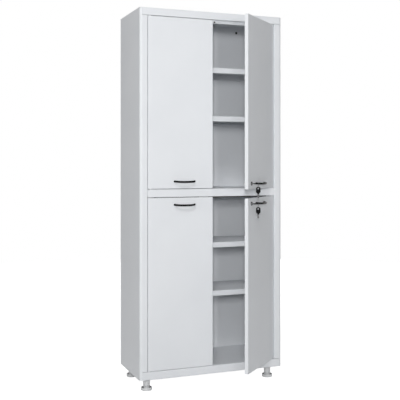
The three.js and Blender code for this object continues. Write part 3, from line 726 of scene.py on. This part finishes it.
def bow_bar():
    points = list(bow_path(44))
    bm = bmesh.new()
    bmesh.ops.create_circle(bm, cap_ends=True, segments=20, radius=0.5)
    bm.faces.ensure_lookup_table()
    end = bm.faces[0]
    last = Matrix.Identity(4)
    for k, point in enumerate(points):
        before = points[max(k - 1, 0)]
        after = points[min(k + 1, len(points) - 1)]
        along = (after - before).normalized()
        if k in (0, len(points) - 1):
            along = Vector((0, -1 if k == 0 else 1, 0))
        inward = along.cross(Vector((0, 0, 1))).normalized()
        upward = inward.cross(along).normalized()
        near_foot = max(0.0, 1 + point.y / BAR_FOOT_REACH)
        thick = BAR_THICK + BAR_FOOT_THICK * near_foot ** 2
        tall = BAR_TALL + BAR_FOOT_TALL * near_foot ** 2
        turn = Matrix((inward * thick, upward * tall, along)).transposed().to_4x4()
        here = Matrix.Translation(point) @ turn
        if k:
            made = bmesh.ops.extrude_face_region(bm, geom=[end])["geom"]
            if k > 1:
                bmesh.ops.delete(bm, geom=[end], context="FACES_ONLY")
            end = next(g for g in made if isinstance(g, bmesh.types.BMFace))
        bmesh.ops.transform(bm, matrix=here @ last.inverted(), verts=end.verts)
        last = here
    bmesh.ops.remove_doubles(bm, verts=bm.verts, dist=0.001)
    ease(bm, 0.5, 2, math.radians(60))
    return bm


def cross_recess(bm, height, reach, half, depth):
    """Sinks a cross in the flat top of a screw head"""
    for axis in (Vector((1, 0, 0)), Vector((0, 1, 0))):
        for place in (-reach, -half, half, reach):
            split(bm, axis * place, axis)

    def in_cross(face):
        middle = face.calc_center_median()
        flat = abs(middle.z - height) < 0.01 and face.normal.z > 0.9
        x, y = abs(middle.x), abs(middle.y)
        return flat and min(x, y) < half and max(x, y) < reach

    sunk(bm, [f for f in bm.faces if in_cross(f)], (0, 0, -depth))
    bmesh.ops.remove_doubles(bm, verts=bm.verts, dist=0.01)
    return bm


def pan_head(radius, height):
    flat = radius * 0.62
    bm = turned([
        (0, 0), (radius, 0), (radius, height * 0.35), (radius * 0.93, height * 0.72),
        (radius * 0.8, height * 0.93), (flat, height), (0, height),
    ], 32)
    join_flat(bm)
    return cross_recess(bm, height, radius * 0.52, radius * 0.13, height * 0.5)


def add_handles():
    for section in SECTIONS:
        for side, edge in (("left", HANDLE_EDGE), ("right", LOCK_EDGE)):
            z = from_rail(section, edge)
            node = f"handle_{section}_{side}"
            place = hung(section, side) @ Matrix.Translation((HANDLE_X, FACE_Y, z))
            body = f"{section}_{side}_leaf"
            add_piece(f"{node}_bow", bow_bar(), body, BLACK, place, [node])
            heads = repeated(pan_head(*HANDLE_SCREW), [
                Matrix.Translation((sx * HANDLE_CENTRES / 2, SHEET, 0)) @ Z_TO_Y
                for sx in (-1, 1)
            ])
            add_piece(f"{node}_screws", heads, body, ZINC, place)


# Pivot pins

def add_pins():
    half = DOOR_GAP / 2 - CLEAR
    tip = half + PIN_REACH
    nose = PIN_R - 0.8
    rim = PIN_COLLAR_R - 0.4
    upper = [
        (PIN_COLLAR_R, half - 0.25), (rim, half), (PIN_R, half), (PIN_R, tip - 0.8), (nose, tip), (0, tip),
    ]
    profile = [(r, -z) for r, z in reversed(upper)] + upper
    for section in SECTIONS:
        for side in ("left", "right"):
            for end, z in (("top", DOOR_H + DOOR_GAP / 2), ("bottom", -DOOR_GAP / 2)):
                node = f"hinge_pin_{section}_{side}_{end}"
                place = hung(section, side) @ Matrix.Translation((0, 0, z))
                bm = turned(profile, 36)
                add_piece(f"{node}_turned", bm, f"{section}_{side}_leaf", ZINC, place, [node])


# Cam locks, keys and rings

def lock_place(section):
    return opened(section) @ Matrix.Translation((-LOCK_X, FACE_Y, from_rail(section, LOCK_EDGE)))


def barrel():
    bore = 5.6
    end = 13
    face = -LOCK_FACE_OUT
    root, crest = 7.1, 7.5
    first, pitch, rounds = 4.5, 0.8, 10
    thread = []
    for k in range(rounds):
        y = first + pitch * k
        thread += [(crest, y), (root, y + pitch / 2)]
    profile = [
        (bore, end), (bore, 0.6 + face), (bore + 0.3, 0.25 + face), (6.3, face), (6.8, 0.35 + face),
        (7.3, face), (7.9, face), (8.5, 0.3 + face), (8.9, 0.9 + face), (9, 1.5 + face), (9, 0), (crest, 0),
    ]
    profile += thread + [(root, end), (bore, end)]
    return move(turned(profile, 56), Z_TO_Y)


def hex_nut():
    bm = bmesh.new()
    corner = 10.5
    bore = 7.6
    height = 3
    bmesh.ops.create_circle(bm, segments=6, radius=corner)
    bmesh.ops.create_circle(bm, segments=6, radius=bore)
    bmesh.ops.subdivide_edges(bm, edges=bm.edges[:], cuts=3, use_grid_fill=False)
    for vert in bm.verts:
        if vert.co.length < bore + 0.4:
            vert.co = vert.co.normalized() * bore
    bmesh.ops.bridge_loops(bm, edges=bm.edges[:])
    drawn_up(bm, bm.faces[:], (0, 0, height))
    bmesh.ops.recalc_face_normals(bm, faces=bm.faces)
    ease(bm, 0.35, 2)
    return move(bm, Matrix.Translation((0, SHEET + 0.1, 0)) @ Z_TO_Y)


def plug():
    face = -LOCK_FACE_OUT
    seat = CAM_Y - CLEAR
    end = CAM_Y + CAM_T + CLEAR
    slot_x = 3.8
    slot_y = 1.3
    slot_depth = 12
    bm = turned([
        (0, face), (4.6, face), (5.1, 0.25 + face), (5.3, 0.7 + face), (5.3, seat), (3.3, seat),
        (3.3, end), (5.3, end), (5.3, end + 1.6), (4.6, end + 2.5), (3.2, end + 3), (0, end + 3),
    ], 48)
    join_flat(bm)
    for axis, reach in (((1, 0, 0), slot_x), ((0, 1, 0), slot_y)):
        for place in (reach, -reach):
            split(bm, Vector(axis) * place, axis)

    def in_keyway(part):
        middle = part.calc_center_median()
        flat = abs(middle.z - face) < 0.01 and part.normal.z < -0.9
        return flat and abs(middle.x) < slot_x and abs(middle.y) < slot_y

    sunk(bm, [f for f in bm.faces if in_keyway(f)], (0, 0, slot_depth))
    return move(bm, Z_TO_Y)


def cam(hand):
    half = 6
    tip = -32
    steps = 16
    outline = []
    for k in range(steps + 1):
        angle = (k / steps - 0.5) * math.pi
        outline.append((half * math.cos(angle), half * math.sin(angle)))
    corner = [(tip + 3, half), (tip + 0.9, half - 0.9), (tip, half - 3)]
    outline += corner + [(x, -y) for x, y in reversed(corner)]
    bm = plate(outline, CAM_Y, CAM_Y + CAM_T)
    ease(bm, 0.35, 2)
    return move(bm, Matrix.Diagonal((hand, 1, 1, 1)) @ Z_TO_Y)


def lofted(loops):
    """A closed form through loops of points, each joined to the next and the last to the first"""
    bm = bmesh.new()
    made = [chain(bm, loop, True)[1] for loop in loops]
    for first, second in zip(made, made[1:] + made[:1]):
        bmesh.ops.bridge_loops(bm, edges=first + second)
    bmesh.ops.recalc_face_normals(bm, faces=bm.faces)
    return bm


def key_head():
    """Moulded head in X and Y about its eye: a raised border round both sunk faces, and a short neck"""
    width, length, thick = KEY_HEAD
    offset = length / 2 - (KEY_EYE_OUT - KEY_NECK_OUT)
    count = 96
    rays = [(math.cos(TURN * k / count), math.sin(TURN * k / count)) for k in range(count)]

    def edge(inset, z):
        radius = KEY_HEAD_R - inset
        loop = []
        for x, y in rays:
            near, far = 0.0, width + length
            for _ in range(26):
                reach = (near + far) / 2
                over_x = max(abs(reach * x) - width / 2 + KEY_HEAD_R, 0)
                over_y = max(abs(reach * y - offset) - length / 2 + KEY_HEAD_R, 0)
                if math.hypot(over_x, over_y) > radius:
                    far = reach
                else:
                    near = reach
            loop.append((near * x, near * y, z))
        return loop

    def eye(out, z):
        radius = KEY_EYE_D / 2 + out
        return [(radius * x, radius * y, z) for x, y in rays]

    top = thick / 2
    web = top - 0.45
    upper = [edge(0, top - 0.8), edge(0.2, top - 0.25), edge(0.6, top - 0.03)]
    upper += [edge(0.95, top), edge(1.2, web)]
    upper += [eye(0.95, web - 0.04), eye(0.7, top), eye(0.25, top - 0.03), eye(0, top - 0.3)]
    lower = [[(x, y, -z) for x, y, z in loop] for loop in reversed(upper)]
    foot = KEY_NECK_OUT - KEY_EYE_OUT
    neck_x, neck_z = 3.9, 1.6
    neck = block((-neck_x, foot - KEY_NECK_L, -neck_z), (neck_x, foot + 1, neck_z))
    ease(neck, 0.6, 3)
    return gather([lofted(upper + lower), neck])


def key_blade(length):
    """Blade along -Y from the shoulder, with a milled groove and the bits on one edge"""
    half = KEY_BLADE_W / 2
    outline = [(-half, 2), (-half, 3 - length), (-1.2, -length), (1.2, -length), (half, 3 - length)]
    outline += [(half - depth, -down) for down, depth in reversed(KEY_BITS)]
    outline += [(half, 2)]
    bm = plate(outline, -KEY_BLADE_T / 2, KEY_BLADE_T / 2)
    groove_x = -1.2
    groove_half = 0.9
    for place in (-groove_half, groove_half):
        split(bm, (place + groove_x, 0, 0), (1, 0, 0))
    for side in (-1, 1):
        faces = [
            f for f in bm.faces
            if f.normal.z * side > 0.9 and abs(f.calc_center_median().x - groove_x) < groove_half
        ]
        bmesh.ops.inset_region(bm, faces=faces, thickness=0.25, use_even_offset=True, depth=-0.3)
    ease(bm, 0.12, 2, math.radians(50))
    return bm


def split_ring():
    bm = bmesh.new()
    section = bmesh.ops.create_circle(bm, cap_ends=True, segments=10, radius=0.5)["verts"]
    rise = 0.7
    wire = (1.2, 0.68)
    gap = 0.25
    flat_wire = Matrix.Rotation(math.pi / 2, 4, "X") @ Matrix.Diagonal((*wire, 1, 1))
    start = Matrix.Translation((RING_R, 0, -rise / 2)) @ flat_wire
    bmesh.ops.transform(bm, matrix=start, verts=section)
    steps = 128
    bmesh.ops.spin(
        bm,
        geom=bm.verts[:] + bm.edges[:] + bm.faces[:],
        cent=(0, 0, 0),
        axis=(0, 0, 1),
        dvec=(0, 0, rise / steps),
        angle=2 * TURN - gap,
        steps=steps,
    )
    bmesh.ops.recalc_face_normals(bm, faces=bm.faces)
    return bm


def add_locks():
    for section in SECTIONS:
        place = lock_place(section)
        leaf = f"{section}_right_leaf"
        core = f"{section}_lock_core"
        spare = f"{section}_spare_key"
        node = f"lock_barrel_{section}"
        add_piece(f"{node}_face", barrel(), leaf, CHROME_PAINTED_DARK, place, [node])
        add_piece(f"lock_nut_{section}", hex_nut(), leaf, ZINC, place)
        node = f"lock_plug_{section}"
        add_piece(f"{node}_core", plug(), core, CHROME, place, [node])
        node = f"lock_cam_{section}"
        hand = -1 if section == "lower" else 1
        add_piece(f"{node}_tongue", cam(hand), core, ZINC, place, [node])
        node = f"key_{section}"
        at_eye = place @ Matrix.Translation((0, -KEY_EYE_OUT, 0))
        inward = Matrix.Rotation(math.pi, 4, "Z")
        at_neck = place @ Matrix.Translation((0, -KEY_NECK_OUT, 0)) @ inward
        add_piece(f"{node}_head", key_head(), core, KEY_BLACK, at_eye @ inward, [node])
        add_piece(f"{node}_blade", key_blade(KEY_BLADE_L), core, NICKEL, at_neck)
        node = f"key_ring_{section}"
        bunch = at_eye @ Matrix.Rotation(-math.pi / 2 - RING_TURN, 4, "Z")
        ring = bunch @ Matrix.Translation((RING_X, 0, RING_Z)) @ Matrix.Rotation(math.pi / 2, 4, "X")
        add_piece(f"{node}_coil", split_ring(), leaf, CHROME, ring, [node])
        node = f"spare_key_{section}"
        upright = Matrix.Rotation(math.pi / 2, 4, "Z") @ Matrix.Rotation(math.pi / 2, 4, "X")
        hang = bunch @ Matrix.Translation((RING_X, 0, SPARE_EYE_Z)) @ upright
        add_piece(f"{node}_head", key_head(), spare, KEY_BLACK, hang, [node])
        foot = hang @ Matrix.Translation((0, -(KEY_EYE_OUT - KEY_NECK_OUT), 0))
        add_piece(f"{node}_blade", key_blade(SPARE_BLADE_L), spare, NICKEL, foot)


# Magnetic catches, door buffers, the dark strip of painted shade below the middle rail and the caps of the
# wall holes

def add_catches():
    width, depth, height = CATCH
    front = LIP_Y - 0.35
    for section, foot in (("upper", FASCIA_FOOT), ("lower", RAIL_FOOT)):
        place = TO_FRAME @ Matrix.Translation((CATCH_X, 0, foot - CLEAR))
        case = block((-width / 2, front + 1, -height), (width / 2, front + depth, 0))
        ease(case, 0.9, 3)
        node = f"magnet_catch_{section}"
        add_piece(f"{node}_case", case, "carcass", CATCH_WHITE, place, [node])
        poles = []
        for x in CATCH_POLE_XS:
            for z in CATCH_POLE_ZS:
                low = Vector((x, front, z))
                pole = block(low, low + CATCH_POLE)
                ease(pole, 0.25, 2)
                poles.append(pole)
        add_piece(f"{node}_poles", gather(poles), "carcass", ZINC, place)
        screws = repeated(pan_head(*CATCH_SCREW), [
            Matrix.Translation((x, front + CATCH_SCREW_Y, -height)) @ Matrix.Rotation(math.pi, 4, "X")
            for x in (-CATCH_SCREW_X, CATCH_SCREW_X)
        ])
        add_piece(f"{node}_screws", screws, "carcass", ZINC, place)


def add_buffers():
    disc = [(0, 0), (4, 0), (3.9, 0.3), (3.5, 0.52), (2.6, 0.58), (0, 0.58)]
    face = Matrix.Rotation(math.pi / 2, 4, "X")
    places = [Matrix.Translation((x, LIP_Y, FASCIA_FOOT - BUFFER_DROP)) @ face for x in BUFFER_XS]
    bm = repeated(turned(disc, 28), places)
    add_piece("door_buffers", bm, "carcass", BLACK_RUBBER_AND_SHADE)


def add_rail_shade_strip():
    """Dark strip on the lip below the middle rail, in two lengths beside the catch: painted shade, standing
    in for the shadowed gap under the rail
    """
    strips = []
    head = RAIL_FOOT - 0.4
    for low, high in ((-SHADE_STRIP_X, CATCH_X - SHADE_STRIP_CATCH_ROOM), (CATCH_X + SHADE_STRIP_CATCH_ROOM, SHADE_STRIP_X)):
        strip = block((low, LIP_Y - SHADE_STRIP_T, head - SHADE_STRIP_H), (high, LIP_Y, head))
        ease(strip, 0.15, 2)
        strips.append(strip)
    add_piece("rail_shade_strip", gather(strips), "carcass", BLACK_RUBBER_AND_SHADE)


def add_wall_caps():
    """Snap-in caps that close the two wall screw holes from inside the top compartment"""
    cap = [
        (0, -2.4), (2.6, -2.4), (3.4, -1.6), (3.7, -0.4), (3.7, 0), (6.2, 0), (6.4, 0.3), (6.1, 0.9),
        (5.2, 1.4), (3.4, 1.8), (0, 2),
    ]
    inward = Matrix.Rotation(math.pi / 2, 4, "X")
    places = [
        Matrix.Translation((x, WALL_HOLE_Y, WALL_HOLE_Z)) @ inward
        for x in (-WALL_HOLE_X, WALL_HOLE_X)
    ]
    add_piece("wall_hole_caps", repeated(turned(cap, 32), places), "carcass", CAP_GREY)


# Feet

def sleeve():
    return turned([
        (6.3, 21.3), (14.6, 21.3), (15.3, 21.7), (15.5, 22.6), (15.5, 25.2), (15.1, 25.6), (15.1, 26.4),
        (15.5, 26.8), (15.5, 86.2), (16.1, 86.9), (19.2, 87), (20, 87.7), (20, 91.5), (19.4, 92.2),
        (6.3, 92.2), (6.3, 21.3),
    ], 56)


def pad():
    return turned([
        (0, 0.6), (16, 0.6), (17, 0), (22, 0), (23.6, 0.6), (24.5, 2.2), (24.5, 12.4), (24.2, 13.5),
        (23.4, 14), (22.7, 13.7), (22.1, 12.6), (21.5, 10.8), (20.2, 9.8), (17.4, 9.5), (15.6, 9.9),
        (14.8, 11.4), (14.4, 18.6), (14.9, 20.1), (14.6, 20.8), (14, 21), (6, 21), (5.2, 21.2),
        (5.2, 79.2), (4.4, 80.2), (0, 80.2),
    ], 64)


# A black rubber washer in the pad's recess; its black is also painted shade, darkening the groove round the
# stem
def foot_shade_washer():
    return turned([
        (14.9, 9.8), (21.2, 9.8), (21.6, 10.2), (21.6, 11.4), (21.2, 11.8), (15.3, 11.8), (14.9, 11.4),
        (14.9, 9.8),
    ], 56)


def stem_thread():
    root = 5.1
    crest = 6
    foot = 22
    pitch = 1.75
    steps = 36
    rounds = 32
    bm = bmesh.new()
    verts, edges = chain(bm, [
        (root, 0, foot),
        (crest, 0, foot + pitch * 0.45),
        (crest, 0, foot + pitch * 0.55),
        (root, 0, foot + pitch),
    ])
    bmesh.ops.spin(
        bm,
        geom=verts + edges,
        cent=(0, 0, 0),
        axis=(0, 0, 1),
        dvec=(0, 0, pitch / steps),
        angle=TURN * rounds,
        steps=steps * rounds,
    )
    bmesh.ops.remove_doubles(bm, verts=bm.verts, dist=0.002)
    bmesh.ops.recalc_face_normals(bm, faces=bm.faces)
    return bm


def add_feet():
    for end, y in FOOT_YS.items():
        for side, sign in (("left", -1), ("right", 1)):
            place = TO_FRAME @ Matrix.Translation((sign * FOOT_X, y, 0))
            name = f"{end}_{side}"
            body = f"{name}_foot"
            node = f"foot_sleeve_{name}"
            add_piece(f"{node}_tube", sleeve(), "carcass", FOOT_GREY, place, [node])
            node = f"foot_pad_{name}"
            add_piece(f"{node}_base", pad(), body, FOOT_GREY, place, [node])
            add_piece(f"foot_shade_washer_{name}", foot_shade_washer(), body, BLACK_RUBBER_AND_SHADE, place)
            add_piece(f"foot_thread_{name}", stem_thread(), body, ZINC, place)


add_camera()
add_world()
add_lights()
add_floor()
add_sheets()
add_welds()
add_handles()
add_pins()
add_locks()
add_catches()
add_buffers()
add_rail_shade_strip()
add_wall_caps()
add_feet()
bpy.context.scene.view_settings.view_transform = "Standard"
